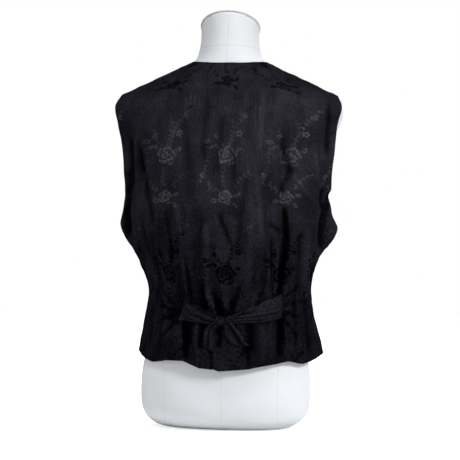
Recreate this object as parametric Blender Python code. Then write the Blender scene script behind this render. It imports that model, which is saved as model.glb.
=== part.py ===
"""A sleeveless waistcoat with a tied back belt, worn by a limbless dress form. Blender 4.5, metres, +Z up.

The form stands on z = 0, over the origin. The waistcoat's back faces -Y and the wearer's right side is +X.
"""

import math
from collections import namedtuple

import bmesh
import bpy
import numpy as np
from mathutils import Vector
from mathutils.bvhtree import BVHTree

# Cloth and gaps
CLOTH = 0.0016  # jacquard and lining together
SEAM_GAP = 0.0003
REST_GAP = 0.0011  # from the cloth's inner face to the form
MIDDLE_GAP_SHARE = 0.7  # of that gap, kept within each face
PLACES = 5  # tested along each side of a face

# The form
FORM_SIDES = 36
FOOT_ROUND = 0.045  # the rounding of the form's lower edge
NECK_BASE, NECK_TOP = 0.655, 0.714
NECK_SLANT = 0.42  # fall of the neck's top towards the front, per metre of depth
CAP_THICK, CAP_PROUD = 0.004, 0.0015

FormSection = namedtuple("FormSection", "height half_width back front power")
FORM_SECTIONS = (
    FormSection(0.000, 0.1500, 0.104, 0.090, 2.3),
    FormSection(0.040, 0.1525, 0.110, 0.094, 2.3),
    FormSection(0.080, 0.1530, 0.113, 0.097, 2.3),
    FormSection(0.130, 0.1460, 0.107, 0.099, 2.3),
    FormSection(0.190, 0.1270, 0.090, 0.096, 2.2),
    FormSection(0.245, 0.1160, 0.080, 0.090, 2.2),
    FormSection(0.300, 0.1200, 0.084, 0.098, 2.2),
    FormSection(0.360, 0.1330, 0.094, 0.116, 2.2),
    FormSection(0.420, 0.1450, 0.102, 0.130, 2.2),
    FormSection(0.470, 0.1570, 0.106, 0.120, 2.3),
    FormSection(0.510, 0.1800, 0.107, 0.104, 2.3),
    FormSection(0.540, 0.1990, 0.105, 0.090, 2.3),
    FormSection(0.560, 0.2055, 0.103, 0.080, 2.3),
    FormSection(0.574, 0.2030, 0.100, 0.072, 2.3),
    FormSection(0.586, 0.1930, 0.097, 0.066, 2.2),
    FormSection(0.597, 0.1750, 0.094, 0.061, 2.2),
    FormSection(0.609, 0.1470, 0.090, 0.057, 2.1),
    FormSection(0.620, 0.1210, 0.086, 0.054, 2.1),
    FormSection(0.631, 0.0970, 0.082, 0.053, 2.1),
    FormSection(0.641, 0.0770, 0.077, 0.052, 2.0),
    FormSection(0.653, 0.0625, 0.071, 0.052, 2.0),
    FormSection(0.670, 0.0555, 0.064, 0.053, 2.0),
    FormSection(0.690, 0.0525, 0.058, 0.055, 2.0),
    FormSection(0.714, 0.0525, 0.054, 0.056, 2.0),
)

# The back: one row for each line across it, from the hem up. An ear is how far the side seam stands out
BackRib = namedtuple("BackRib", "z_middle z_edge left right y_middle y_edge turn ear")
BACK_RIBS = (
    BackRib(0.110, 0.134, 0.158, 0.1720, -0.1260, 0.000, 88, 0.004),
    BackRib(0.150, 0.160, 0.154, 0.1660, -0.1200, 0.002, 88, 0.002),
    BackRib(0.203, 0.203, 0.147, 0.1530, -0.1060, 0.004, 88, 0.000),
    BackRib(0.250, 0.250, 0.142, 0.1485, -0.1130, 0.006, 88, 0.000),
    BackRib(0.300, 0.300, 0.164, 0.1590, -0.1180, 0.008, 86, 0.004),
    BackRib(0.366, 0.357, 0.1965, 0.1960, -0.1165, 0.012, 84, 0.018),
    BackRib(0.392, 0.379, 0.1920, 0.1855, -0.1150, 0.000, 80, 0.008),
    BackRib(0.422, 0.412, 0.1860, 0.1835, -0.1135, -0.016, 75, 0.002),
    BackRib(0.470, 0.455, 0.1845, 0.1855, -0.1110, -0.034, 68, 0.000),
    BackRib(0.520, 0.500, 0.1865, 0.1900, -0.1100, -0.044, 64, 0.000),
    BackRib(0.570, 0.541, 0.1950, 0.1945, -0.1065, -0.044, 62, 0.000),
    BackRib(0.611, 0.571, 0.1980, 0.1975, -0.0950, -0.034, 62, 0.000),
)
UNDERARM_RIB = 5
EAR_SHARE = 0.075  # of the half back that an ear takes up

# The shoulder seam, from the neck to the arm, and the neckline over the nape
NECK_SIDE = Vector((0.065, -0.014, 0.652))
SHOULDER_TIP = Vector((0.1945, -0.010, 0.592))
NAPE_Y, NAPE_Z = -0.0775, 0.644
NECK_SHARE = 0.40  # of the half back that the neckline takes up at the top

# The fronts: start is the armhole's angle from the side, end_x the front edge or the neckline
FrontRib = namedtuple("FrontRib", "z_edge z_end half_width y_side y_front start end_x")
FRONT_RIBS = (
    FrontRib(0.134, 0.082, 0.166, 0.000, 0.1240, 0, -0.015),
    FrontRib(0.160, 0.135, 0.161, 0.002, 0.1234, 0, -0.015),
    FrontRib(0.203, 0.195, 0.152, 0.004, 0.1228, 0, -0.015),
    FrontRib(0.250, 0.250, 0.147, 0.006, 0.1240, 0, -0.015),
    FrontRib(0.300, 0.305, 0.165, 0.008, 0.1290, 0, -0.015),
    FrontRib(0.357, 0.366, 0.180, 0.012, 0.1350, 0, -0.015),
    FrontRib(0.410, 0.420, 0.180, 0.010, 0.1355, 17, -0.013),
    FrontRib(0.455, 0.468, 0.179, 0.008, 0.1300, 24, 0.002),
    FrontRib(0.500, 0.518, 0.184, 0.004, 0.1180, 26, 0.017),
    FrontRib(0.541, 0.568, 0.194, 0.000, 0.0980, 25, 0.032),
    FrontRib(0.572, 0.615, 0.200, -0.004, 0.0760, 21, 0.048),
    FrontRib(0.583, 0.638, 0.200, -0.008, 0.0400, 14, 0.060),
)
FRONT_POWER = 2.2
LAP_START, LAP_END, LAP_GAP = 0.045, 0.022, 0.0008  # where the upper front climbs onto the lower one
POINT_SHARES, POINT_DROPS = (0, 0.45, 0.80, 1), (0, 0.10, 1, 0.45)  # of the front hem, down to its point

ROWS_A_GAP = 3
NECK_COLUMNS, SEAM_COLUMNS = 7, 14  # from the middle of the back to the shoulder seam, and along the seam
SIDE_BLEND = 0.10  # share of a front that follows the side seam

# Folds of the back, in the view from behind: a trough from the high end to the low one
Fold = namedtuple("Fold", "x_high z_high x_low z_low width_high width_low depth")
BACK_FOLDS = (
    Fold(-0.044, 0.372, -0.047, 0.215, 0.010, 0.016, 0.0110),  # left of the knot
    Fold(-0.065, 0.370, -0.066, 0.235, 0.010, 0.010, -0.0030),  # its outer ridge
    Fold(-0.021, 0.340, -0.024, 0.215, 0.010, 0.010, -0.0030),  # its inner ridge
    Fold(0.1045, 0.385, 0.0965, 0.235, 0.010, 0.011, 0.0080),  # right of the knot
    Fold(0.124, 0.370, 0.118, 0.250, 0.010, 0.010, -0.0030),
    Fold(0.100, 0.510, 0.112, 0.430, 0.010, 0.016, 0.0045),  # over the right blade
    Fold(-0.066, 0.190, -0.064, 0.120, 0.011, 0.011, 0.0050),  # below the left tie
    Fold(0.103, 0.190, 0.101, 0.130, 0.011, 0.011, 0.0045),
    Fold(0.048, 0.165, 0.047, 0.112, 0.010, 0.010, 0.0035),
    Fold(-0.166, 0.500, -0.166, 0.440, 0.010, 0.010, 0.0040),  # by the left armhole
    Fold(0.174, 0.560, 0.171, 0.490, 0.010, 0.010, 0.0030),
)
FRONT_FOLDS = (
    Fold(-0.095, 0.380, -0.100, 0.130, 0.016, 0.014, 0.0050),
    Fold(-0.052, 0.400, -0.055, 0.120, 0.014, 0.012, 0.0035),
    Fold(0.092, 0.380, 0.104, 0.130, 0.016, 0.014, 0.0045),
    Fold(0.056, 0.390, 0.060, 0.120, 0.014, 0.012, 0.0035),
)

# The tie belt
KNOT_AT = Vector((0.0030, 0.0, 0.1965))
KNOT_RADII = Vector((0.0125, 0.0095, 0.0110))
KNOT_LOBES, KNOT_LOBE = 3, 0.10
Strap = namedtuple("Strap", "name x_end z_end width_end x_knot z_knot width_knot thick_end thick_knot")
STRAPS = (
    Strap("tie_left", -0.078, 0.2130, 0.034, -0.003, 0.1975, 0.010, 0.0024, 0.0070),
    Strap("tie_right", 0.098, 0.2215, 0.038, 0.011, 0.1985, 0.010, 0.0024, 0.0070),
)
TieEnd = namedtuple("TieEnd", "name x_knot x_tip z_tip width_tip stand_off")
TIE_ENDS = (
    TieEnd("tie_end_left", -0.004, -0.0125, 0.1500, 0.021, 0.0045),
    TieEnd("tie_end_right", 0.011, 0.0320, 0.1530, 0.022, 0.0045),
)
TIE_END_NARROW, TIE_END_THICK = 0.009, 0.0024
STRAP_STEPS, STRAP_ACROSS = 14, 6

# Buttons on the front edge
BUTTON_HEIGHTS = (0.180, 0.255, 0.330, 0.405)
BUTTON_RADIUS, BUTTON_THICK, BUTTON_DISH = 0.0075, 0.0030, 0.0009
BUTTON_SIDES = 20

# Colour, roughness and metallic value of each finish
FINISHES = {
    "jacquard": ((0.012, 0.012, 0.014), 0.55, 0.0),
    "form_jersey": ((0.78, 0.78, 0.79), 0.85, 0.0),
    "button": ((0.010, 0.010, 0.011), 0.25, 0.0),
}


def finish_named(name):
    colour, roughness, metallic = FINISHES[name]
    material = bpy.data.materials.get(name) or bpy.data.materials.new(name)
    material.use_nodes = True
    shader = material.node_tree.nodes["Principled BSDF"]
    shader.inputs["Base Color"].default_value = (*colour, 1)
    shader.inputs["Roughness"].default_value = roughness
    shader.inputs["Metallic"].default_value = metallic
    return material


def object_from(name, bm, finish):
    """A named, smooth object from a bmesh whose faces enclose it."""
    bmesh.ops.recalc_face_normals(bm, faces=bm.faces)
    mesh = bpy.data.meshes.new(name)
    bm.to_mesh(mesh)
    bm.free()
    mesh.shade_smooth()
    mesh.set_sharp_from_angle(angle=math.radians(40))
    mesh.materials.append(finish_named(finish))
    obj = bpy.data.objects.new(name, mesh)
    bpy.context.scene.collection.objects.link(obj)
    return obj


def eased(share):
    share = np.clip(share, 0, 1)
    return share * share * (3 - 2 * share)


def curve_through(knots, values, at):
    """Points at the positions at, on a smooth curve through the values at the rising knots."""
    knots, values, at = np.asarray(knots, float), np.asarray(values, float), np.asarray(at, float)
    steps = np.diff(knots).reshape(-1, *[1] * (values.ndim - 1))
    slopes = np.diff(values, axis=0) / steps
    inner = (slopes[:-1] * steps[1:] + slopes[1:] * steps[:-1]) / (steps[1:] + steps[:-1])
    tangents = np.concatenate([slopes[:1], inner, slopes[-1:]])
    piece = np.clip(np.searchsorted(knots, at, side="right") - 1, 0, len(knots) - 2)
    width = np.diff(knots)[piece].reshape(-1, *[1] * (values.ndim - 1))
    u = (at - knots[piece]).reshape(-1, *[1] * (values.ndim - 1)) / width
    return (
        (2 * u**3 - 3 * u**2 + 1) * values[piece]
        + (u**3 - 2 * u**2 + u) * width * tangents[piece]
        + (3 * u**2 - 2 * u**3) * values[piece + 1]
        + (u**3 - u**2) * width * tangents[piece + 1]
    )


def rounded(value, power):
    """A sine or cosine made squarer, for the outline of a section."""
    return np.sign(value) * np.abs(value) ** (2 / power)


def lofted(name, rings, finish):
    """A closed solid through rings of equally many points, with a flat cap at each end."""
    bm = bmesh.new()
    loops = [[bm.verts.new(point) for point in ring] for ring in rings]
    for lower, upper in zip(loops, loops[1:]):
        for i in range(len(lower)):
            j = (i + 1) % len(lower)
            bm.faces.new((lower[i], lower[j], upper[j], upper[i]))
    bm.faces.new(reversed(loops[0]))
    bm.faces.new(loops[-1])
    return object_from(name, bm, finish)


# The dress form


def form_ring(height, proud=0.0):
    heights = [section.height for section in FORM_SECTIONS]
    section = FormSection(*curve_through(heights, FORM_SECTIONS, [height])[0])
    lift = max(0.0, FOOT_ROUND - height)
    inset = FOOT_ROUND - math.sqrt(FOOT_ROUND**2 - lift**2) - proud
    angles = np.linspace(0, 2 * math.pi, FORM_SIDES, endpoint=False)
    half_depth = (section.back + section.front) / 2 - inset
    x = (section.half_width - inset) * rounded(np.cos(angles), section.power)
    depth = half_depth * rounded(np.sin(angles), section.power)
    slant = NECK_SLANT * eased((height - NECK_BASE) / (NECK_TOP - NECK_BASE))
    return np.stack([x, depth + (section.front - section.back) / 2, height - slant * depth], axis=1)


def dress_form():
    heights = list(FOOT_ROUND * (1 - np.cos(np.linspace(0, math.pi / 2, 5))))
    for lower, upper in zip(FORM_SECTIONS[2:], FORM_SECTIONS[3:]):
        heights += [lower.height, (lower.height + upper.height) / 2]
    return lofted("form_body", [form_ring(height) for height in [*heights, NECK_TOP]], "form_jersey")


def neck_cap():
    """A thin covered plate on the neck's slanted top."""
    rim = form_ring(NECK_TOP, CAP_PROUD)
    inner = form_ring(NECK_TOP, -CAP_PROUD)
    up = np.array([0, NECK_SLANT, 1]) / math.hypot(1, NECK_SLANT)
    rings = [inner + up * SEAM_GAP, rim + up * (SEAM_GAP + CAP_THICK * 0.35)]
    rings += [rim + up * (SEAM_GAP + CAP_THICK * 0.7), inner + up * (SEAM_GAP + CAP_THICK)]
    return lofted("form_neck_cap", rings, "form_jersey")


def tree_of(obj):
    bpy.context.view_layer.update()
    return BVHTree.FromObject(obj, bpy.context.evaluated_depsgraph_get())


# The cloth's shape


def back_rib(rib, shares):
    """The points of one line across the back, at shares from -1 at the left edge to 1 at the right."""
    turn = math.radians(rib.turn)
    edge = np.where(shares < 0, rib.left, rib.right) - rib.ear
    reach = np.sin(np.abs(shares) * turn) / math.sin(turn)
    fall = (np.cos(shares * turn) - math.cos(turn)) / (1 - math.cos(turn))
    ear = rib.ear * np.exp(-(((1 - np.abs(shares)) / EAR_SHARE) ** 2))
    x = np.sign(shares) * (edge * reach + ear)
    y = rib.y_edge + (rib.y_middle - rib.y_edge) * fall
    return np.stack([x, y, rib.z_middle + (rib.z_edge - rib.z_middle) * shares**2], axis=1)


def shoulder_line(shares):
    """Points from the neck's side, at share 0, to the shoulder's tip, at share 1."""
    start, end = np.array(NECK_SIDE), np.array(SHOULDER_TIP)
    return start + (end - start) * np.asarray(shares)[:, None]


def back_top(shares):
    """The back's upper edge: the neckline in the middle and a shoulder seam on each side of it."""
    along = np.clip(np.abs(shares) / NECK_SHARE, 0, 1)
    angle = along * math.pi / 2
    neck = np.stack(
        [
            NECK_SIDE.x * np.sin(angle),
            NECK_SIDE.y + (NAPE_Y - NECK_SIDE.y) * np.cos(angle),
            NAPE_Z + (NECK_SIDE.z - NAPE_Z) * along**2,
        ],
        axis=1,
    )
    shoulder = shoulder_line((np.abs(shares) - NECK_SHARE) / (1 - NECK_SHARE))
    points = np.where((np.abs(shares) > NECK_SHARE)[:, None], shoulder, neck)
    points[:, 0] *= np.sign(shares)
    return points


def front_rib(rib, shares, side):
    """The points of one line across a front, from its outer edge at share 0 to its front edge at share 1."""
    start = math.radians(rib.start)
    end = math.acos(np.sign(rib.end_x) * (abs(rib.end_x) / rib.half_width) ** (FRONT_POWER / 2))
    angles = start + (end - start) * shares
    x = rib.half_width * rounded(np.cos(angles), FRONT_POWER)
    y = rib.y_side + (rib.y_front - rib.y_side) * rounded(np.sin(angles), FRONT_POWER)
    drop = curve_through(POINT_SHARES, POINT_DROPS, shares) if rib.z_end < rib.z_edge else shares
    return np.stack([side * x, y, rib.z_edge + (rib.z_end - rib.z_edge) * drop], axis=1)


def woven(ribs):
    """A grid of points through the ribs, row by row."""
    ribs = np.asarray(ribs)
    lengths = np.linalg.norm(np.diff(ribs, axis=0), axis=2).mean(axis=1)
    knots = np.concatenate([[0], np.cumsum(lengths)])
    at = [knots[0]]
    for low, high in zip(knots, knots[1:]):
        at += list(np.linspace(low, high, ROWS_A_GAP + 1)[1:])
    return curve_through(knots, ribs, at)


def normals_of(grid):
    """Unit normals of a grid of points, from its neighbours along each row and column."""
    along = np.gradient(grid, axis=1)
    up = np.gradient(grid, axis=0)
    normals = np.cross(along, up)
    return normals / np.linalg.norm(normals, axis=2, keepdims=True)


def folded(grid, normals, folds):
    """The grid with each fold pressed in, or raised where its depth is negative."""
    moved = grid.copy()
    for fold in folds:
        low = np.array([fold.x_low, fold.z_low])
        line = np.array([fold.x_high, fold.z_high]) - low
        place = grid[..., [0, 2]] - low
        share = (place @ line) / (line @ line)
        aside = np.abs(place @ np.array([-line[1], line[0]])) / np.linalg.norm(line)
        width = fold.width_low + (fold.width_high - fold.width_low) * np.clip(share, 0, 1)
        ends = eased((share + 0.25) / 0.35) * eased((1.2 - share) / 0.35)
        moved -= normals * (fold.depth * ends * np.exp(-((aside / width) ** 2)))[..., None]
    return moved


def short_of(point, tree, gap):
    """The push that takes a point out to the gap from the form, or None where it is clear."""
    near, normal, _, _ = tree.find_nearest(Vector(point))
    short = gap - (Vector(point) - near).dot(normal)
    return np.array(normal) * short if short > 0 else None


def clear_of(grid, tree, gap, offsets=None):
    """The grid set clear of the form, at its points and within its faces, tested at the offsets from it."""
    offsets = np.zeros_like(grid) if offsets is None else offsets
    for point, offset in zip(grid.reshape(-1, 3), offsets.reshape(-1, 3)):
        push = short_of(point + offset, tree, gap)
        if push is not None:
            point += push
    steps = np.arange(PLACES) / PLACES
    for up, over in [(up, over) for up in steps for over in steps] * 2:
        shares = np.outer([1 - up, up], [1 - over, over])[..., None]
        for row in range(len(grid) - 1):
            for column in range(len(grid[0]) - 1):
                face = grid[row : row + 2, column : column + 2]
                place = ((face + offsets[row : row + 2, column : column + 2]) * shares).sum(axis=(0, 1))
                push = short_of(place, tree, gap * MIDDLE_GAP_SHARE)
                if push is not None:
                    face += push * (shares > 0)
    return grid


def drawn_back(grid, sides, top):
    """The grid with its seamed edges drawn back by half a seam gap, at its sides and at the top's columns."""
    moved = grid.copy()
    pulls = [((rows, edge), grid[rows, inner] - grid[rows, edge]) for rows, edge, inner in sides]
    pulls.append(((-1, top), grid[-2, top] - grid[-1, top]))
    for place, pull in pulls:
        moved[place] += pull / np.linalg.norm(pull, axis=-1, keepdims=True) * SEAM_GAP / 2
    return moved


def cloth_wall(name, inner, outer):
    """A closed wall between the grids of its inner and outer points."""
    bm = bmesh.new()
    inside = [[bm.verts.new(point) for point in row] for row in inner]
    outside = [[bm.verts.new(point) for point in row] for row in outer]
    for row in range(len(inner) - 1):
        for column in range(len(inner[0]) - 1):
            corners = ((row, column), (row, column + 1), (row + 1, column + 1), (row + 1, column))
            bm.faces.new([outside[r][c] for r, c in corners])
            bm.faces.new([inside[r][c] for r, c in reversed(corners)])
    last_row, last_column = len(inner) - 1, len(inner[0]) - 1
    rim = [(0, c) for c in range(last_column)] + [(r, last_column) for r in range(last_row)]
    rim += [(last_row, c) for c in range(last_column, 0, -1)] + [(r, 0) for r in range(last_row, 0, -1)]
    for (r0, c0), (r1, c1) in zip(rim, rim[1:] + rim[:1]):
        bm.faces.new((inside[r0][c0], inside[r1][c1], outside[r1][c1], outside[r0][c0]))
    return object_from(name, bm, "jacquard")


def seam_shares():
    """Columns along a shoulder seam, from the neck at 0 to the arm at 1, closer together towards the arm."""
    return 1 - (1 - np.linspace(0, 1, SEAM_COLUMNS + 1)) ** 1.2


def back_shares():
    """Columns across the back. Its shoulder parts have the fronts' own columns."""
    neck = np.linspace(0, NECK_SHARE, NECK_COLUMNS + 1)[:-1]
    right = [*neck, *(NECK_SHARE + (1 - NECK_SHARE) * seam_shares())]
    return np.array([-share for share in right[:0:-1]] + right)


def back_grid(tree):
    shares = back_shares()
    grid = woven([*[back_rib(rib, shares) for rib in BACK_RIBS], back_top(shares)])
    return clear_of(folded(grid, normals_of(grid), BACK_FOLDS), tree, REST_GAP)


def front_grid(tree, side, side_seam):
    """One front, whose lowest rows start on the side seam's points."""
    across = 1 - seam_shares()[::-1]
    seam = shoulder_line(1 - across)
    seam[:, 0] *= side
    grid = woven([*[front_rib(rib, across, side) for rib in FRONT_RIBS], seam])
    grid = folded(grid, normals_of(grid) * side, FRONT_FOLDS)
    shift = side_seam - grid[: len(side_seam), 0]
    grid[: len(side_seam)] += shift[:, None] * np.exp(-((across / SIDE_BLEND) ** 2))[None, :, None]
    return clear_of(grid, tree, REST_GAP)


def outer_points(tree, first, second):
    """Of two rows of points, the one of each pair that lies further out from the form."""
    chosen = []
    for pair in zip(first, second):
        depth = [(Vector(point) - tree.find_nearest(Vector(point))[0]).length for point in pair]
        chosen.append(pair[int(depth[1] > depth[0])])
    return np.array(chosen)


def mitred(first, second):
    both = first + second
    return both / np.linalg.norm(both, axis=-1, keepdims=True)


def waistcoat(form):
    """The back and the two fronts, each a wall of its own, meeting at the side and shoulder seams."""
    tree = tree_of(form)
    back = back_grid(tree)
    seam_rows = slice(0, UNDERARM_RIB * ROWS_A_GAP + 1)
    shoulders = {-1: slice(0, SEAM_COLUMNS + 1), 1: slice(-1, -SEAM_COLUMNS - 2, -1)}
    edges = {-1: 0, 1: -1}
    fronts = {side: front_grid(tree, side, back[seam_rows, edges[side]]) for side in edges}
    for side, front in fronts.items():
        joined = outer_points(tree, back[-1, shoulders[side]], front[-1])
        back[-1, shoulders[side]] = front[-1] = joined
        joined = outer_points(tree, back[seam_rows, edges[side]], front[seam_rows, 0])
        back[seam_rows, edges[side]] = front[seam_rows, 0] = joined

    normals = normals_of(back)
    made = {}
    for side, front in fronts.items():
        front_normals = normals_of(front) * side
        seam = mitred(normals[seam_rows, edges[side]], front_normals[seam_rows, 0])
        normals[seam_rows, edges[side]] = front_normals[seam_rows, 0] = seam
        seam = mitred(normals[-1, shoulders[side]], front_normals[-1])
        normals[-1, shoulders[side]] = front_normals[-1] = seam
        clear_of(front, tree, REST_GAP, front_normals * CLOTH)
        lift = (CLOTH + LAP_GAP) * eased((LAP_START - front[..., 0]) / (LAP_START - LAP_END))
        inner = drawn_back(front, [(seam_rows, 0, 1)], slice(None))
        inner += front_normals * (lift * (side > 0))[..., None]
        name = "front_left" if side < 0 else "front_right"
        made[name] = cloth_wall(name, inner, inner + front_normals * CLOTH)
    clear_of(back, tree, REST_GAP, normals * CLOTH)
    inner = drawn_back(back, [(seam_rows, 0, 1), (seam_rows, -1, -2)], shoulders[-1])
    inner = drawn_back(inner, [], shoulders[1])
    made["back"] = cloth_wall("back", inner, inner + normals * CLOTH)
    return made


# The tie belt


def surface_y(tree, x, z, from_y=-1.0):
    """The cloth's y where a line along Y from outside first meets it."""
    hit, _, _, _ = tree.ray_cast(Vector((x, from_y, z)), Vector((0, -math.copysign(1, from_y), 0)))
    return hit.y


def strip_rings(tree, centres, widths, thicknesses, stand_offs, lean):
    """Rings of a cloth strip that lies on the back: each ring crosses it, and its long way is across."""
    rings = []
    across = np.linspace(-0.5, 0.5, STRAP_ACROSS + 1)
    pillow = 1 - (2 * np.abs(across)) ** 4 * 0.7
    for (x, z), width, thick, stand_off in zip(centres, widths, thicknesses, stand_offs):
        direction = np.array(lean)
        xs, zs = x + across * width * direction[0], z + across * width * direction[1]
        bed = np.array([surface_y(tree, px, pz) for px, pz in zip(xs, zs)]) - SEAM_GAP * 2 - stand_off
        low = bed.min() * 0.6 + bed * 0.4
        top = np.stack([xs, low - thick * pillow, zs], axis=1)
        under = np.stack([xs, low, zs], axis=1)
        rings.append([*under, *top[::-1]])
    return rings


def bridged(tree, centres):
    """How far a strip stands off the cloth at each centre, where it spans a trough in a straight line."""
    bed = np.array([surface_y(tree, x, z) for x, z in centres])
    line = np.linspace(bed[0], bed[-1], len(bed))
    return np.maximum(bed - np.minimum(line, bed), 0)


def build_belt(back):
    tree = tree_of(back)
    knot_y = surface_y(tree, KNOT_AT.x, KNOT_AT.z) - KNOT_RADII.y - 2 * SEAM_GAP
    knot = knot_solid("tie_knot", 0.0, knot_y)
    space = knot_solid("knot_space", SEAM_GAP * 1.5, knot_y)
    space.hide_render = True
    space.display_type = "WIRE"
    along = np.linspace(0, 1, STRAP_STEPS + 1)
    pieces = []
    for strap in STRAPS:
        centres = np.stack(
            [
                strap.x_end + (strap.x_knot - strap.x_end) * along,
                strap.z_end + (strap.z_knot - strap.z_end) * along**1.3,
            ],
            axis=1,
        )
        widths = strap.width_end + (strap.width_knot - strap.width_end) * along**1.6
        thicknesses = strap.thick_end + (strap.thick_knot - strap.thick_end) * along**2
        rings = strip_rings(tree, centres, widths, thicknesses, bridged(tree, centres), (0, 1))
        pieces.append(lofted(strap.name, rings, "jacquard"))
    for end in TIE_ENDS:
        z_knot = KNOT_AT.z - KNOT_RADII.z * 0.45
        centres = np.stack(
            [end.x_knot + (end.x_tip - end.x_knot) * along, z_knot + (end.z_tip - z_knot) * along], axis=1
        )
        widths = TIE_END_NARROW + (end.width_tip - TIE_END_NARROW) * along**0.8
        stand_offs = end.stand_off * (1 - along) ** 1.5
        slope = np.array([end.z_tip - z_knot, end.x_knot - end.x_tip])
        lean = slope / np.linalg.norm(slope)
        rings = strip_rings(tree, centres, widths, np.full(len(along), TIE_END_THICK), stand_offs, lean)
        pieces.append(lofted(end.name, rings, "jacquard"))
    for piece in pieces:
        cut = piece.modifiers.new("knot space", "BOOLEAN")
        cut.object = space
        cut.operation = "DIFFERENCE"
    return knot


def knot_solid(name, swell, knot_y):
    """A rounded knot with soft lobes, where the wound cloth shows."""
    rings = []
    for polar in np.linspace(0.12, math.pi - 0.12, 13):
        turn = np.linspace(0, 2 * math.pi, 20, endpoint=False)
        lobe = 1 + KNOT_LOBE * np.cos(KNOT_LOBES * turn + 2.2 * polar) * math.sin(polar) ** 2
        x = -math.cos(polar) * (KNOT_RADII.x + swell) * np.ones(20)
        y = math.sin(polar) * (KNOT_RADII.y * lobe + swell) * np.cos(turn)
        z = math.sin(polar) * (KNOT_RADII.z * lobe + swell) * np.sin(turn)
        rings.append(np.stack([x + KNOT_AT.x, y + knot_y, z + KNOT_AT.z], axis=1))
    return lofted(name, rings, "jacquard")


# The buttons


def build_buttons(front):
    tree = tree_of(front)
    turn = np.linspace(0, 2 * math.pi, BUTTON_SIDES, endpoint=False)
    profile = (
        (BUTTON_RADIUS * 0.86, 0.0),
        (BUTTON_RADIUS, BUTTON_THICK * 0.35),
        (BUTTON_RADIUS, BUTTON_THICK * 0.7),
        (BUTTON_RADIUS * 0.90, BUTTON_THICK),
        (BUTTON_RADIUS * 0.70, BUTTON_THICK),
        (BUTTON_RADIUS * 0.58, BUTTON_THICK - BUTTON_DISH),
    )
    for number, height in enumerate(BUTTON_HEIGHTS, 1):
        hit, normal, _, _ = tree.ray_cast(Vector((0, 1, height)), Vector((0, -1, 0)))
        rings = []
        for radius, rise in profile:
            across, up = radius * np.cos(turn), radius * np.sin(turn)
            rings.append(np.stack([across, up, np.full(BUTTON_SIDES, rise)], axis=1))
        button = lofted(f"button_{number}", rings, "button")
        button.location = hit + normal * SEAM_GAP * 1.5
        button.rotation_euler = normal.to_track_quat("Z", "Y").to_euler()


def main():
    for obj in list(bpy.data.objects):
        bpy.data.objects.remove(obj)
    form = dress_form()
    neck_cap()
    panels = waistcoat(form)
    build_belt(panels["back"])
    build_buttons(panels["front_right"])


main()
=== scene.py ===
import math

import bpy
import numpy as np
from mathutils import Matrix, Vector, noise
from mathutils.bvhtree import BVHTree


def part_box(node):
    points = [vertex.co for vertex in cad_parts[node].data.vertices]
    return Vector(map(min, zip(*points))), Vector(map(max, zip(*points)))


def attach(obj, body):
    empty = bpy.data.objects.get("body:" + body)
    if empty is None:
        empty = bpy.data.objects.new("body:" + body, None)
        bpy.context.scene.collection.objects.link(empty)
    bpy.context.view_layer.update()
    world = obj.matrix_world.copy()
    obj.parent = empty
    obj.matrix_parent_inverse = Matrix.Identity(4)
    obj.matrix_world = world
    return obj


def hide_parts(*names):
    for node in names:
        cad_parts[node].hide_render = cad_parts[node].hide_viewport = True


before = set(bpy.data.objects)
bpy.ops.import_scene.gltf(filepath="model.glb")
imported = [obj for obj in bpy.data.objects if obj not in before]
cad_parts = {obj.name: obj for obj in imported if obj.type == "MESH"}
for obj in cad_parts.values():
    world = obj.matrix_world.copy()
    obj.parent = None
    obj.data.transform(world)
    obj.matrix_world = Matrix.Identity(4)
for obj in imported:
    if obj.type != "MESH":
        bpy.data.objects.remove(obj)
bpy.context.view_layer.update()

millimetre = 0.001


# helpers

def deselectAll():
    if bpy.context.object and bpy.context.object.mode != "OBJECT":
        bpy.ops.object.mode_set(mode="OBJECT")
    bpy.ops.object.select_all(action="DESELECT")


def activate(piece):
    deselectAll()
    piece.select_set(True)
    bpy.context.view_layer.objects.active = piece


def applyModifier(piece, kind, **settings):
    activate(piece)
    modifier = piece.modifiers.new(kind.title(), kind)
    for name, value in settings.items():
        setattr(modifier, name, value)
    bpy.ops.object.modifier_apply(modifier=modifier.name)


def subdivide(piece, levels, **settings):
    applyModifier(piece, "SUBSURF", levels=levels, render_levels=levels, **settings)


def roundEdges(piece, width, bend, segments=2):
    # rounds the edges that bend by more than this angle
    applyModifier(piece, "BEVEL", width=width, segments=segments, limit_method="ANGLE", angle_limit=bend)


def vertexPlaces(piece):
    places = np.empty(len(piece.data.vertices) * 3)
    piece.data.vertices.foreach_get("co", places)
    return places.reshape(-1, 3)


def vertexNormals(piece):
    normals = np.empty(len(piece.data.vertices) * 3)
    piece.data.update()
    piece.data.vertices.foreach_get("normal", normals)
    return normals.reshape(-1, 3)


def moveVertices(piece, places):
    piece.data.vertices.foreach_set("co", np.asarray(places, float).ravel())
    piece.data.update()


def selectFaces(piece, mask):
    # leaves the piece in edit mode with these faces selected
    activate(piece)
    bpy.ops.object.mode_set(mode="EDIT")
    bpy.ops.mesh.select_mode(type="FACE")
    bpy.ops.mesh.select_all(action="DESELECT")
    bpy.ops.object.mode_set(mode="OBJECT")
    piece.data.polygons.foreach_set("select", np.asarray(mask, bool))
    bpy.ops.object.mode_set(mode="EDIT")


def editAll(piece):
    # leaves the piece in edit mode with all of it selected
    activate(piece)
    bpy.ops.object.mode_set(mode="EDIT")
    bpy.ops.mesh.select_all(action="SELECT")


def faceOutward(piece):
    editAll(piece)
    bpy.ops.mesh.normals_make_consistent(inside=False)
    bpy.ops.object.mode_set(mode="OBJECT")


def finishMesh(piece, material):
    activate(piece)
    bpy.ops.object.shade_smooth()
    piece.data.materials.clear()
    piece.data.materials.append(material)
    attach(piece, "root")


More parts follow.
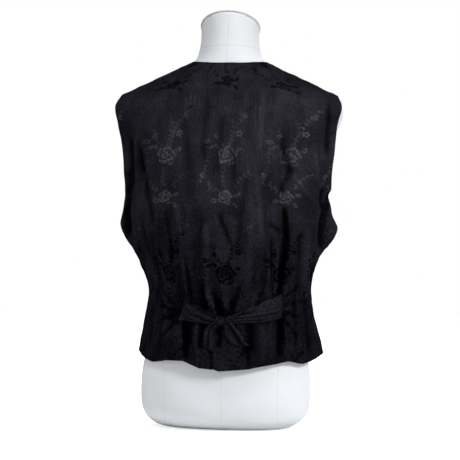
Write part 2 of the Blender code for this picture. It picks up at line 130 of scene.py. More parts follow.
def nodeCopy(node, name):
    # a welded copy of a CAD node, as an object of its own
    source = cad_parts[node]
    mesh = source.data.copy()
    mesh.transform(source.matrix_world)
    piece = bpy.data.objects.new(name, mesh)
    bpy.context.scene.collection.objects.link(piece)
    editAll(piece)
    bpy.ops.mesh.remove_doubles(threshold=0.00002)
    bpy.ops.object.mode_set(mode="OBJECT")
    return piece


def eased(share):
    share = np.clip(share, 0, 1)
    return share * share * (3 - 2 * share)


def noiseAt(places, scale, seed=0.0):
    # smooth noise from -1 to 1 at every place, with its own scale along each axis
    scaled = places * np.array(scale) + seed
    return np.array([noise.noise(Vector(place)) for place in scaled])


def treeOf(piece):
    return BVHTree.FromObject(piece, bpy.context.evaluated_depsgraph_get())


# camera, floor and light

view = {
    "distance": 2.6, "azimuth": 5.0, "height": 0.352, "roll": 0.7,
    "lens": 113.0, "sensor": 36, "shift": 0.0041,
}

cameraData = bpy.data.cameras.new("camera")
camera = bpy.data.objects.new("camera", cameraData)
bpy.context.scene.collection.objects.link(camera)
camera.matrix_world = (
    Matrix.Rotation(math.radians(view["azimuth"]), 4, "Z")
    @ Matrix.Translation((0, -view["distance"], view["height"]))
    @ Matrix.Rotation(math.radians(90), 4, "X")
    @ Matrix.Rotation(math.radians(view["roll"]), 4, "Z")
)
cameraData.sensor_width = view["sensor"]
cameraData.lens = view["lens"]
cameraData.shift_x = view["shift"]
bpy.context.scene.camera = camera
bpy.context.scene.view_settings.view_transform = "Standard"

studio = {
    "floor": 7.0, "floorRough": 0.9, "floorGlow": 0.70, "floorColour": (0.93, 0.93, 0.93, 1),
    "sky": (0.98, 0.985, 1.0, 1), "skyStrength": 0.30, "backdrop": (1.0, 1.0, 1.0, 1),
    # place, size, power and what each lamp points at
    "lamps": {
        "keyLamp": ((2.1, -1.5, 1.7), 0.6, 62, (0, 0, 0.40)),
        "topLamp": ((-0.2, -0.7, 2.3), 0.6, 26, (0, 0, 0.45)),
        "sideLamp": ((-2.2, -1.8, 0.9), 0.9, 9, (0, 0, 0.35)),
        "rearLamp": ((0.8, 2.4, 1.4), 1.4, 34, (0, 0, 0.40)),
    },
}


def makeStudio():
    deselectAll()
    bpy.ops.mesh.primitive_plane_add(size=studio["floor"], location=(0, 0, 0))
    floor = bpy.context.object
    floor.name = "floor"
    material = bpy.data.materials.new("floorPaper")
    material.use_nodes = True
    shader = material.node_tree.nodes["Principled BSDF"]
    shader.inputs["Base Color"].default_value = studio["floorColour"]
    shader.inputs["Roughness"].default_value = studio["floorRough"]
    # the paper looks evenly white to the camera and lights nothing
    shader.inputs["Emission Color"].default_value = studio["floorColour"]
    seen = material.node_tree.nodes.new("ShaderNodeLightPath")
    glow = material.node_tree.nodes.new("ShaderNodeMath")
    glow.operation = "MULTIPLY"
    glow.inputs[1].default_value = studio["floorGlow"]
    material.node_tree.links.new(seen.outputs["Is Camera Ray"], glow.inputs[0])
    material.node_tree.links.new(glow.outputs[0], shader.inputs["Emission Strength"])
    floor.data.materials.append(material)
    for name, (place, size, power, target) in studio["lamps"].items():
        lampData = bpy.data.lights.new(name, "AREA")
        lampData.size = size
        lampData.energy = power
        lamp = bpy.data.objects.new(name, lampData)
        bpy.context.scene.collection.objects.link(lamp)
        lamp.location = place
        lamp.rotation_euler = (Vector(target) - Vector(place)).to_track_quat("-Z", "Y").to_euler()
    world = bpy.context.scene.world or bpy.data.worlds.new("studio")
    bpy.context.scene.world = world
    world.use_nodes = True
    tree = world.node_tree
    sky = tree.nodes["Background"]
    sky.inputs["Color"].default_value = studio["sky"]
    sky.inputs["Strength"].default_value = studio["skyStrength"]
    # the camera sees white paper where it looks past the floor
    paper = tree.nodes.new("ShaderNodeBackground")
    paper.inputs["Color"].default_value = studio["backdrop"]
    seen = tree.nodes.new("ShaderNodeLightPath")
    chosen = tree.nodes.new("ShaderNodeMixShader")
    tree.links.new(seen.outputs["Is Camera Ray"], chosen.inputs[0])
    tree.links.new(sky.outputs[0], chosen.inputs[1])
    tree.links.new(paper.outputs[0], chosen.inputs[2])
    tree.links.new(chosen.outputs[0], tree.nodes["World Output"].inputs["Surface"])
    print("studio done")


makeStudio()


# shader building

class Wiring:
    # adds nodes to one tree, and takes sockets or plain numbers as inputs
    def __init__(self, tree):
        self.tree = tree

    def feed(self, socket, value):
        if isinstance(value, bpy.types.NodeSocket):
            self.tree.links.new(value, socket)
        else:
            socket.default_value = value

    def node(self, kind, settings=None, **inputs):
        made = self.tree.nodes.new(kind)
        for name, value in (settings or {}).items():
            setattr(made, name, value)
        for name, value in inputs.items():
            self.feed(made.inputs[name.replace("_", " ")], value)
        return made

    def math(self, operation, first, second=0.0, clamp=False):
        made = self.tree.nodes.new("ShaderNodeMath")
        made.operation = operation
        made.use_clamp = clamp
        self.feed(made.inputs[0], first)
        self.feed(made.inputs[1], second)
        return made.outputs[0]

    def times(self, first, second):
        return self.math("MULTIPLY", first, second)

    def plus(self, first, second):
        return self.math("ADD", first, second)

    def minus(self, first, second):
        return self.math("SUBTRACT", first, second)

    def over(self, first, second):
        return self.math("DIVIDE", first, second)

    def sized(self, value):
        return self.math("ABSOLUTE", value)

    def line(self, value, slope, start):
        made = self.math("MULTIPLY_ADD", value, slope)
        made.node.inputs[2].default_value = start
        return made

    def vector(self, operation, first, second=(0, 0, 0)):
        made = self.tree.nodes.new("ShaderNodeVectorMath")
        made.operation = operation
        self.feed(made.inputs[0], first)
        self.feed(made.inputs["Scale" if operation == "SCALE" else 1], second)
        return made.outputs["Value" if operation == "LENGTH" else 0]

    def split(self, vector):
        made = self.node("ShaderNodeSeparateXYZ")
        self.feed(made.inputs[0], vector)
        return made.outputs

    def join(self, x, y, z=0.0):
        made = self.node("ShaderNodeCombineXYZ")
        for socket, value in zip(made.inputs, (x, y, z)):
            self.feed(socket, value)
        return made.outputs[0]

    def ramp(self, value, low, high, toLow=0.0, toHigh=1.0):
        # a soft step between two values
        made = self.node("ShaderNodeMapRange", {"interpolation_type": "SMOOTHSTEP"})
        sockets = ("Value", "From Min", "From Max", "To Min", "To Max")
        for name, number in zip(sockets, (value, low, high, toLow, toHigh)):
            self.feed(made.inputs[name], number)
        return made.outputs[0]

    def mix(self, share, first, second):
        made = self.node("ShaderNodeMix", {"data_type": "RGBA"})
        self.feed(made.inputs[0], share)
        self.feed(made.inputs[6], first)
        self.feed(made.inputs[7], second)
        return made.outputs[2]

    def noise(self, vector, scale, detail=2.0, rough=0.5):
        made = self.node("ShaderNodeTexNoise", Vector=vector, Scale=scale, Detail=detail, Roughness=rough)
        return made.outputs[0]

    def grain(self, vector, scales, detail=2.0, rough=0.5):
        # noise with its own scale along each axis
        return self.noise(self.vector("MULTIPLY", vector, scales), 1.0, detail, rough)

    def emboss(self, shader, height, strength, distance):
        bump = self.node("ShaderNodeBump", Height=height, Strength=strength, Distance=distance)
        self.feed(shader.inputs["Normal"], bump.outputs[0])


def newMaterial(name):
    material = bpy.data.materials.new(name)
    material.use_nodes = True
    return material, Wiring(material.node_tree), material.node_tree.nodes["Principled BSDF"]


def newGroup(name, inputs, output):
    # an input without a value is a vector, and the one output is a number
    group = bpy.data.node_groups.new(name, "ShaderNodeTree")
    for socket, value in inputs.items():
        kind = "NodeSocketVector" if value is None else "NodeSocketFloat"
        made = group.interface.new_socket(socket, in_out="INPUT", socket_type=kind)
        if value is not None:
            made.default_value = value
    group.interface.new_socket(output, in_out="OUTPUT", socket_type="NodeSocketFloat")
    source = group.nodes.new("NodeGroupInput").outputs
    sink = group.nodes.new("NodeGroupOutput").inputs
    return group, Wiring(group), source, sink[output]


def placed(wiring, group, **inputs):
    made = wiring.node("ShaderNodeGroup", {"node_tree": group})
    for name, value in inputs.items():
        wiring.feed(made.inputs[name], value)
    return made.outputs


def fromCentre(w, source):
    # a place in a round figure: its offset, how far out it lies in the figure's sizes, and its angle
    local = w.vector("SUBTRACT", source["Place"], source["Centre"])
    x, y, _ = w.split(local)
    return local, w.over(w.vector("LENGTH", local), source["Size"]), w.math("ARCTAN2", y, x)


def alongFigure(w, source, start):
    # a place measured along and across a figure that lies at its own angle
    turned = w.node("ShaderNodeVectorRotate", {"rotation_type": "Z_AXIS"})
    w.feed(turned.inputs["Vector"], w.vector("SUBTRACT", source["Place"], source[start]))
    w.feed(turned.inputs["Angle"], w.times(source["Angle"], -1.0))
    x, y, _ = w.split(turned.outputs[0])
    return x, y


def makeRose():
    # a full-blown rose head: a lobed outline with its petals' edges curling inside
    group, w, source, mask = newGroup("rose", {"Place": None, "Centre": None, "Size": 0.019}, "Mask")
    local, radius, angle = fromCentre(w, source)
    lobes = w.times(w.math("SINE", w.line(angle, 5.0, 0.5)), 0.10)
    head = w.ramp(w.minus(w.plus(lobes, 0.86), radius), -0.03, 0.05)
    # petals overlap in threes inside and in fives outside, all wound the same way
    curl = w.plus(w.times(radius, 15.0), w.times(angle, 2.0))
    curl = w.plus(curl, w.times(w.math("SINE", w.times(angle, 3.0)), 1.6))
    ruffle = w.noise(w.vector("DIVIDE", local, (0.006, 0.006, 1)), 1.0, 2.0)
    curl = w.plus(curl, w.times(ruffle, 5.0))
    petals = w.ramp(w.math("SINE", curl), -0.5, 0.5)
    w.feed(mask, w.times(head, w.math("MAXIMUM", petals, 0.20)))
    return group


def makeLeaf():
    # a pointed leaf with a midrib, lying along its own angle
    sockets = {"Place": None, "Centre": None, "Angle": 0.0, "Length": 0.010, "Width": 0.004}
    group, w, source, mask = newGroup("leaf", sockets, "Mask")
    x, y = alongFigure(w, source, "Centre")
    along = w.over(x, source["Length"])
    across = w.over(w.sized(y), source["Width"])
    # the blade narrows to a point at both ends
    room = w.minus(1.0, w.times(along, along))
    blade = w.ramp(w.minus(room, across), -0.02, 0.16)
    rib = w.ramp(across, 0.06, 0.16)
    w.feed(mask, w.times(blade, rib))
    return group


def makeBlossom():
    # a small open flower with five petals and a dark eye
    group, w, source, mask = newGroup("blossom", {"Place": None, "Centre": None, "Size": 0.006}, "Mask")
    _, radius, angle = fromCentre(w, source)
    edge = w.plus(w.times(w.math("COSINE", w.times(angle, 5.0)), 0.16), 0.82)
    head = w.ramp(w.minus(edge, radius), -0.04, 0.08)
    eye = w.ramp(radius, 0.22, 0.34)
    w.feed(mask, w.times(head, eye))
    return group


bouquet = {
    "repeatAcross": 0.1135, "repeatUp": 0.205,
    "shift": (-0.0075, 0.1340),
    # how strongly each kind of figure shows
    "sheen": {"roses": 0.95, "blossoms": 0.80, "leaves": 0.65, "sprays": 0.42},
    # metres from the repeat's middle: x, y, size
    "roses": [(0.000, 0.000, 0.0205), (-0.003, -0.072, 0.0150)],
    "blossoms": [(0.022, 0.038, 0.0064), (-0.021, 0.034, 0.0054), (0.034, 0.068, 0.0045),
                 (-0.047, -0.034, 0.0052)],
    # x, y, angle in degrees, half length, half width
    "leaves": [(-0.037, 0.024, 172, 0.0095, 0.0046), (-0.030, 0.014, 220, 0.0075, 0.0034),
               (-0.020, 0.015, 140, 0.0075, 0.0036), (0.021, 0.010, 30, 0.0075, 0.0036),
               (-0.022, -0.078, 190, 0.0095, 0.0042), (0.018, -0.068, 25, 0.0085, 0.0036),
               (0.015, -0.086, -35, 0.0080, 0.0034)],
    # sprays: x, y of the foot, angle in degrees, length, bend and the leaves' half length
    "sprays": [(0.004, 0.014, 60, 0.084, 0.006, 0.0036), (0.002, 0.016, 84, 0.048, -0.005, 0.0034),
               (-0.006, 0.014, 116, 0.036, 0.004, 0.0034), (-0.038, 0.018, 258, 0.074, 0.006, 0.0036),
               (0.010, -0.058, 40, 0.044, 0.005, 0.0042), (-0.004, -0.056, 96, 0.030, 0.003, 0.0036),
               (-0.016, -0.062, 140, 0.028, 0.004, 0.0040)],
}


def makeSpray():
    # a thin bent stem with its leaves in pairs
    sockets = {"Place": None, "Foot": None, "Angle": 0.0, "Length": 0.030, "Bend": 0.005, "Leaf": 0.005}
    group, w, source, mask = newGroup("spray", sockets, "Mask")
    x, y = alongFigure(w, source, "Foot")
    along = w.over(x, source["Length"])
    bow = w.times(w.math("SINE", w.times(along, math.pi)), source["Bend"])
    across = w.sized(w.minus(y, bow))
    stem = w.ramp(across, 0.0004, 0.0010, 1.0, 0.0)
    # the leaves lean forward from the stem by 45 degrees
    lean = 0.7071
    step = w.times(source["Leaf"], 2.1)
    cell = w.times(w.minus(w.math("FRACT", w.over(x, step)), 0.35), step)
    forward = w.times(w.plus(cell, across), lean)
    aside = w.sized(w.times(w.minus(across, cell), lean))
    reach = w.minus(w.over(forward, source["Leaf"]), 1.0)
    room = w.minus(1.0, w.times(reach, reach))
    blade = w.ramp(w.minus(room, w.over(aside, w.times(source["Leaf"], 0.36))), 0.0, 0.25)
    within = w.times(w.ramp(along, 0.0, 0.04), w.ramp(along, 0.93, 1.0, 1.0, 0.0))
    w.feed(mask, w.times(w.math("MAXIMUM", stem, blade), within))
    return group


def repeated(w, value, length):
    # the place within one repeat, from its middle
    whole = w.over(w.plus(value, length * 10.5), length)
    return w.times(w.minus(w.math("FRACT", whole), 0.5), length)


def makeBouquet():
    # one repeat of the flowered figure, over and over across the cloth
    figures = {
        "roses": (makeRose(), ("Centre", "Size")),
        "blossoms": (makeBlossom(), ("Centre", "Size")),
        "leaves": (makeLeaf(), ("Centre", "Angle", "Length", "Width")),
        "sprays": (makeSpray(), ("Foot", "Angle", "Length", "Bend", "Leaf")),
    }
    group, w, source, mask = newGroup("bouquet", {"Cloth": None}, "Mask")
    # the warp and weft are never quite true
    stray = w.node("ShaderNodeTexNoise", Vector=source["Cloth"], Scale=80.0, Detail=3.0).outputs["Color"]
    stray = w.vector("MULTIPLY", w.vector("SUBTRACT", stray, (0.5, 0.5, 0.5)), (0.0075, 0.0075, 0))
    place = w.vector("ADD", w.vector("ADD", source["Cloth"], stray), (*bouquet["shift"], 0))
    x, y, _ = w.split(place)
    tile = w.join(repeated(w, x, bouquet["repeatAcross"]), repeated(w, y, bouquet["repeatUp"]))
    total = 0.0
    for kind, (figure, sockets) in figures.items():
        for across, up, *sizes in bouquet[kind]:
            values = dict(zip(sockets, [(across, up, 0), *sizes]))
            if "Angle" in values:
                values["Angle"] = math.radians(values["Angle"])
            made = placed(w, figure, Place=tile, **values)
            total = w.math("MAXIMUM", total, w.times(made["Mask"], bouquet["sheen"][kind]))
    # floats of thread break the figure up
    worn = w.ramp(w.noise(source["Cloth"], 300.0, 3.0, 0.7), 0.36, 0.62, 0.12, 1.0)
    w.feed(mask, w.times(total, worn))
    return group


def makeWeave():
    # warp and weft of a fine cloth, as a height from 0 to 1
    group, w, source, height = newGroup("weave", {"Cloth": None, "Pitch": 0.0006}, "Height")
    x, y, _ = w.split(source["Cloth"])
    turns = w.over(2 * math.pi, source["Pitch"])
    warp = w.math("SINE", w.times(x, turns))
    weft = w.math("SINE", w.times(y, turns))
    w.feed(height, w.line(w.times(warp, weft), 0.5, 0.5))
    return group


jacquardLook = {
    "ground": (0.0076, 0.0074, 0.0108, 1), "groundPale": (0.0156, 0.0150, 0.0198, 1),
    "figureBright": (0.064, 0.061, 0.070, 1), "figureDark": (0.0010, 0.0010, 0.0014, 1),
    "groundRough": 0.42, "figureRough": 0.36, "pitch": 0.0007, "hollowShade": 0.80, "lyingShade": 0.80,
    "satin": 0.45, "facing": (0.15, 0.70), "glint": (0.05, 0.05, 0.06, 1),
    "brightBand": (0.335, 0.400, 0.548, 0.568),  # heights between which the flowers catch the light
    "speckle": (0.50, 0.20), "darkFill": 4.5,
    "paintedHeightShade": (0.14, 0.50, 0.64, 1.30),  # painted shade and light: the cloth is painted darker low down and paler up high, from the first height to the second
    # repeats a metre across and up the cloth
    "streak": (900.0, 60.0, 1.0), "slub": (270.0, 180.0, 1.0),
    # small ridges: repeats a metre across and up, and height; then how much they show low down and high up
    "puckers": ((120.0, 30.0, 1.0), (260.0, 90.0, 0.45)), "puckered": (0.20, 0.50, 12.0, 6.0),
    "weaveHeight": 0.12, "bump": (0.9, 0.0010),
}


def makeJacquard():
    look = jacquardLook
    weaveGroup, bouquetGroup = makeWeave(), makeBouquet()
    material, w, shader = newMaterial("jacquard")
    cloth = w.node("ShaderNodeUVMap", {"uv_map": "cloth"}).outputs[0]
    where = w.node("ShaderNodeTexCoord").outputs["Object"]
    _, _, height = w.split(where)
    figure = placed(w, bouquetGroup, Cloth=cloth)["Mask"]
    # painted light and shade: the flowers are painted pale between these heights, where they catch the light,
    # and near black above and below
    low, lowEnd, highStart, high = look["brightBand"]
    wander = w.times(w.minus(w.noise(where, 9.0, 2.0), 0.5), 0.04)
    level = w.plus(height, wander)
    bright = w.times(w.ramp(level, low, lowEnd), w.ramp(level, highStart, high, 1.0, 0.0))
    figureColour = w.mix(bright, look["figureDark"], look["figureBright"])
    blotch = w.ramp(w.noise(where, 14.0, 4.0, 0.6), 0.32, 0.68)
    streak = w.ramp(w.grain(cloth, look["streak"]), 0.25, 0.75, 0.86, 1.0)
    ground = w.mix(blotch, look["ground"], look["groundPale"])
    ground = w.mix(streak, look["ground"], ground)
    strength = w.ramp(w.noise(cloth, 16.0, 1.0), 0.25, 0.65, 0.60, 1.0)
    # speckle of the twill, the painted shade that gathers in the folds and the painted light where the cloth
    # stands proud
    rough = w.ramp(height, 0.25, 0.50, *look["speckle"])
    slub = w.grain(cloth, look["slub"], 4.0, 0.70)
    speckle = w.plus(w.times(w.ramp(slub, 0.32, 0.68, -1.0, 1.0), rough), 1.0)
    hollow = w.node("ShaderNodeAttribute", {"attribute_name": "hollow"}).outputs["Fac"]
    unshaded = w.line(hollow, -look["hollowShade"], 1.0)
    # painted shade low down on the cloth and painted light up high
    tone = w.times(w.times(speckle, unshaded), w.ramp(height, *look["paintedHeightShade"]))
    # painted shade: it is painted darker where it faces up, as on the shoulders
    lying = w.split(w.node("ShaderNodeNewGeometry").outputs["Normal"])[2]
    tone = w.times(tone, w.ramp(lying, 0.25, 0.80, 1.0, look["lyingShade"]))
    strength = w.times(strength, w.ramp(bright, 0.0, 1.0, look["darkFill"], 1.0))
    share = w.math("MULTIPLY", figure, strength, clamp=True)
    w.feed(shader.inputs["Base Color"], w.vector("SCALE", w.mix(share, ground, figureColour), tone))
    roughness = w.line(share, look["figureRough"] - look["groundRough"], look["groundRough"])
    w.feed(shader.inputs["Roughness"], roughness)
    shader.inputs["Specular IOR Level"].default_value = 0.0
    shader.inputs["Specular Tint"].default_value = look["glint"]
    # the satin shines face on, and its black flowers hardly at all
    facing = w.node("ShaderNodeLayerWeight", Blend=0.5).outputs["Facing"]
    black = w.times(share, w.minus(1.0, bright))
    shine = w.times(w.ramp(facing, *look["facing"], look["satin"], 0.0), w.minus(1.0, black))
    w.feed(shader.inputs["Metallic"], shine)
    weave = placed(w, weaveGroup, Cloth=cloth, Pitch=look["pitch"])["Height"]
    # crushed satin: sharp little ridges, mostly upright
    pucker = 0.0
    for along, up, depth in look["puckers"]:
        ridge = w.sized(w.minus(w.grain(cloth, (along, up, 1.0), 3.0, 0.55), 0.5))
        pucker = w.minus(pucker, w.times(ridge, depth))
    puckered = w.times(pucker, w.ramp(height, *look["puckered"]))
    w.emboss(shader, w.plus(w.times(weave, look["weaveHeight"]), puckered), *look["bump"])
    return material


jacquard = makeJacquard()
print("jacquard done")


# dress form

formLook = {
    "colour": (0.668, 0.690, 0.712, 1), "shade": (0.586, 0.606, 0.632, 1), "roughness": 0.85,
    "worn": (0.35, 0.62, 1.0, 0.79),  # painted shade: the cover is painted darker from the first height up to the second
    "crease": 0.6, "levels": 2, "stitch": 0.0016, "neckLine": 0.6700, "neckSlant": 0.10,
    "waist": 0.250, "waistReach": 0.250, "sideSeam": -0.004, "seamColour": (0.42, 0.42, 0.45, 1),
    "sheen": 0.10, "gloss": 0.25, "ribs": 900.0, "course": 0.0011, "ripple": (60.0, 60.0, 9.0),
    "bump": (0.4, 0.0005),
    # the three seams of the back and the three of the front: x at the hip, at the waist and at the shoulder
    "backSeams": [(0.000, 0.000, 0.000), (-0.102, -0.075, -0.100), (0.097, 0.075, 0.100)],
    "frontSeams": [(0.000, 0.000, 0.000), (-0.098, -0.065, -0.095), (0.098, 0.065, 0.095)],
}


def makeJersey():
    look = formLook
    material, w, shader = newMaterial("formJersey")

    def stitched(apart):
        return w.ramp(w.sized(apart), 0.0002, look["stitch"], 1.0, 0.0)

    where = w.node("ShaderNodeTexCoord").outputs["Object"]
    x, y, z = w.split(where)
    # seams bend in at the waist and out again above it
    up = w.over(w.minus(z, look["waist"]), look["waistReach"])
    lower = w.ramp(up, -0.45, 0.1, 1.0, 0.0)
    upper = w.ramp(up, 0.0, 1.0)
    neckHeight = w.plus(z, w.times(y, look["neckSlant"]))
    neckLine = stitched(w.minus(neckHeight, look["neckLine"]))
    grooves = w.math("MAXIMUM", stitched(w.minus(y, look["sideSeam"])), neckLine)
    for side, seams in ((-1, look["backSeams"]), (1, look["frontSeams"])):
        onSide = w.ramp(w.times(y, side), 0.010, 0.020)
        for hip, waist, shoulder in seams:
            line = w.plus(w.line(lower, hip - waist, waist), w.times(upper, shoulder - waist))
            grooves = w.math("MAXIMUM", grooves, w.times(stitched(w.minus(x, line)), onSide))
    mottle = w.ramp(w.noise(where, 11.0, 4.0, 0.55), 0.35, 0.70)
    colour = w.mix(w.times(mottle, 0.35), look["colour"], look["shade"])
    colour = w.mix(w.times(grooves, 0.16), colour, look["seamColour"])
    # painted shade: the cover's colour darkens towards the neck
    w.feed(shader.inputs["Base Color"], w.vector("SCALE", colour, w.ramp(z, *look["worn"])))
    shader.inputs["Roughness"].default_value = look["roughness"]
    shader.inputs["Sheen Weight"].default_value = look["sheen"]
    shader.inputs["Specular IOR Level"].default_value = look["gloss"]
    # ribs of the jersey run up the form, and the cover has faint upright ripples
    ribs = w.math("SINE", w.times(w.math("ARCTAN2", y, x), look["ribs"]))
    courses = w.math("SINE", w.times(z, 2 * math.pi / look["course"]))
    knit = w.times(w.plus(ribs, courses), 0.10)
    ripples = w.times(w.grain(where, look["ripple"]), 2.5)
    w.emboss(shader, w.plus(w.plus(knit, ripples), w.times(grooves, -1.6)), *look["bump"])
    return material


formJersey = makeJersey()


def makeForm():
    # smoother copies of the form and its neck plate
    pieces = {}
    for node, name in (("form_body", "formBody"), ("form_neck_cap", "formNeckCap")):
        piece = nodeCopy(node, name)
        editAll(piece)
        bpy.ops.mesh.tris_convert_to_quads(face_threshold=0.6, shape_threshold=math.pi)
        bpy.ops.mesh.select_all(action="DESELECT")
        bpy.ops.mesh.select_mode(type="EDGE")
        bpy.ops.mesh.edges_select_sharp(sharpness=0.7)
        bpy.ops.transform.edge_crease(value=formLook["crease"])
        bpy.ops.object.mode_set(mode="OBJECT")
        subdivide(piece, formLook["levels"])
        finishMesh(piece, formJersey)
        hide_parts(node)
        pieces[name] = piece
    print("form done")
    return pieces["formBody"]


formBody = makeForm()
formTree = treeOf(formBody)


# the waistcoat's panels

panelLook = {
    "thickness": 0.0014, "formGap": 0.0007, "rimWidth": 0.0025, "foldDepth": 1.9, "levels": 2,
    "fineBelow": 0.292, "fineBehind": -0.045, "hollowDepth": 0.0042, "rimRound": 0.0005, "rimBend": 1.2,
    # the wrinkles: scale along each axis, seed, height and whether they run in sharp ridges
    "wrinkles": (
        ((34, 34, 7), 3.1, 0.0010, True), ((80, 80, 22), 7.7, 0.00055, True),
        ((170, 170, 60), 1.3, 0.00025, False),
    ),
    "wrinkle": 1.8, "wrinkledAt": 0.235,
    "halfWidth": 0.172, "halfDepth": 0.122,  # of the oval that the cloth's own coordinates are measured round
}

# the back's folds as charted on the photo: from x, y to x, y and the width, all in its pixels,
# then the depth in millimetres, below 0 for a ridge
backFoldChart = [
    (205, 230, 205, 300, 3, -2.5), (175, 205, 187, 300, 2.5, -2), (180, 240, 190, 300, 2.5, 2),
    (284, 210, 286, 234, 2.2, 4), (286, 230, 278, 296, 2.6, 5), (272, 242, 272, 295, 1.8, 2.5),
    (276, 245, 275, 290, 1.8, -1.5), (220, 216, 229, 241, 2.5, 2.2), (270, 223, 281, 232, 1.8, 2),
    (281, 138, 290, 170, 4, 1.7), (290, 168, 281, 192, 3.5, 1.5), (130, 140, 131, 182, 3, 2.5),
    (138, 148, 152, 222, 3.5, 2), (328, 104, 327, 152, 3, 2), (315, 155, 318, 182, 2, -1.5),
    (294, 178, 313, 200, 1.8, -1.6), (322, 188, 321, 207, 2.5, 2.5), (127, 175, 122, 235, 4, 4),
    (329, 193, 321, 226, 3, 4.5), (321, 226, 320, 246, 3, 3.5), (183, 320, 184, 362, 3, 4),
    (281, 318, 280, 355, 3, 3.5), (248, 352, 249, 367, 2, 2), (160, 300, 158, 352, 2.5, 1.2),
    (196, 325, 197, 362, 3, -2), (210, 350, 212, 370, 2, 1.5), (262, 328, 263, 364, 3, -1.5),
    (293, 300, 296, 352, 2.5, 1.5), (304, 300, 309, 350, 2.5, 1.2), (150, 310, 147, 350, 2.5, 1.2),
    (176, 310, 158, 290, 1.8, 1.2), (176, 312, 155, 306, 1.8, 1.2), (176, 315, 156, 324, 1.8, 1.2),
    (177, 318, 160, 338, 1.8, 1.2), (280, 300, 300, 284, 1.8, 1.2), (281, 306, 305, 300, 1.8, 1.2),
    (281, 311, 302, 318, 1.8, 1.2), (280, 316, 298, 335, 1.8, 1.2), (200, 248, 281, 249, 0.9, 1.3),
    (203, 285, 215, 316, 3, -2.5), (226, 278, 222, 312, 4, -3), (219, 300, 220, 316, 4, 5),
    (240, 285, 232, 312, 2.5, 2), (250, 275, 240, 305, 3, -1.5), (205, 100, 203, 160, 4, 1),
    (222, 120, 214, 175, 3.5, 1.2), (262, 95, 258, 150, 3, -1.5), (250, 95, 247, 140, 3, 1),
    (232, 150, 236, 220, 4, 1), (185, 120, 190, 200, 5, 1), (245, 180, 240, 235, 3, 1.2),
    (255, 175, 262, 235, 3, -1.2), (165, 215, 172, 262, 3, 1.4), (150, 235, 160, 290, 3, 1.5),
    (140, 225, 153, 272, 2.5, 1.5), (300, 235, 296, 290, 3, 1.6), (308, 240, 304, 295, 2.5, -1.2),
    # the broad hollows over and under the belt
    (202, 284, 203, 311, 5, 4), (186, 322, 187, 346, 3.5, 3), (201, 323, 200, 347, 4, 3),
    (250, 322, 251, 352, 6, 2.6), (219, 327, 219, 346, 3.5, 2.6), (279, 318, 280, 338, 2.6, 3.5),
    (214, 294, 220, 314, 3, 2.5), (231, 300, 230, 314, 2, 2),
]
# the hem as charted: x and y in the photo's pixels
hemChart = [
    (150, 357), (160.6, 361.8), (182.4, 361.8), (199.4, 368.5), (214, 369.2), (219, 370.9),
    (245.5, 369), (273.3, 364.2), (304, 357),
]
# the cloth lies at the back's depth near the middle, and comes forward over a stretch on each side
chart = {
    "centre": 230, "axis": 228.1, "lean": 0.0122, "metresAPixel": 0.0018,
    "backDepth": -0.112, "forward": 0.067, "flatTo": 40, "stretch": 75,
}


def fromChart(px, py):
    # the place on the back that the camera sees at a pixel of the photo
    aside = px - chart["axis"] + chart["lean"] * (py - chart["centre"])
    depth = chart["backDepth"] + chart["forward"] * eased((abs(aside) - chart["flatTo"]) / chart["stretch"])
    scale = chart["metresAPixel"] * (view["distance"] + depth) / view["distance"]
    turn = math.radians(view["azimuth"])
    across = (aside * scale - depth * math.sin(turn)) / math.cos(turn)
    return across, view["height"] + (chart["centre"] - py) * scale


backFolds = [
    (
        *fromChart(x1, y1), *fromChart(x2, y2),
        width * chart["metresAPixel"], depth * millimetre * panelLook["foldDepth"],
    )
    for x1, y1, x2, y2, width, depth in backFoldChart
]
backHem = [fromChart(px, py) for px, py in hemChart]

# small pulls at the corners of the armholes: the place, how far round it the pull reaches, and the pull
tugs = [
    ((0.194, 0.000, 0.352), 0.016, (0.003, 0, -0.0015)),
    ((-0.194, 0.000, 0.345), 0.016, (-0.002, 0, -0.001)),
]

# the fronts' folds: from x, z to x, z, the width and the depth, in metres
frontFolds = [
    (0.135, 0.350, 0.100, 0.290, 0.0060, 0.0020),
    (0.150, 0.330, 0.120, 0.250, 0.0060, -0.0015),
    (0.120, 0.400, 0.105, 0.300, 0.0070, 0.0018),
    (0.085, 0.340, 0.090, 0.150, 0.0060, 0.0020),
    (0.070, 0.300, 0.072, 0.140, 0.0055, -0.0014),
    (0.110, 0.240, 0.118, 0.145, 0.0060, 0.0018),
    (0.040, 0.330, 0.080, 0.345, 0.0035, 0.0008),
    (0.038, 0.255, 0.075, 0.262, 0.0035, 0.0008),
    (0.038, 0.180, 0.070, 0.172, 0.0035, 0.0008),
    (0.045, 0.400, 0.085, 0.425, 0.0040, 0.0009),
    (-0.135, 0.350, -0.105, 0.285, 0.0060, 0.0020),
    (-0.148, 0.335, -0.124, 0.250, 0.0060, -0.0015),
    (-0.118, 0.395, -0.100, 0.300, 0.0070, 0.0018),
    (-0.088, 0.335, -0.094, 0.150, 0.0060, 0.0020),
    (-0.068, 0.310, -0.070, 0.140, 0.0055, -0.0014),
    (-0.112, 0.235, -0.122, 0.145, 0.0060, 0.0018),
    (-0.045, 0.395, -0.085, 0.430, 0.0040, 0.0009),
    (-0.040, 0.325, -0.078, 0.340, 0.0035, 0.0008),
    (0.128, 0.560, 0.120, 0.480, 0.0080, 0.0016),
    (-0.130, 0.560, -0.121, 0.485, 0.0080, 0.0016),
]


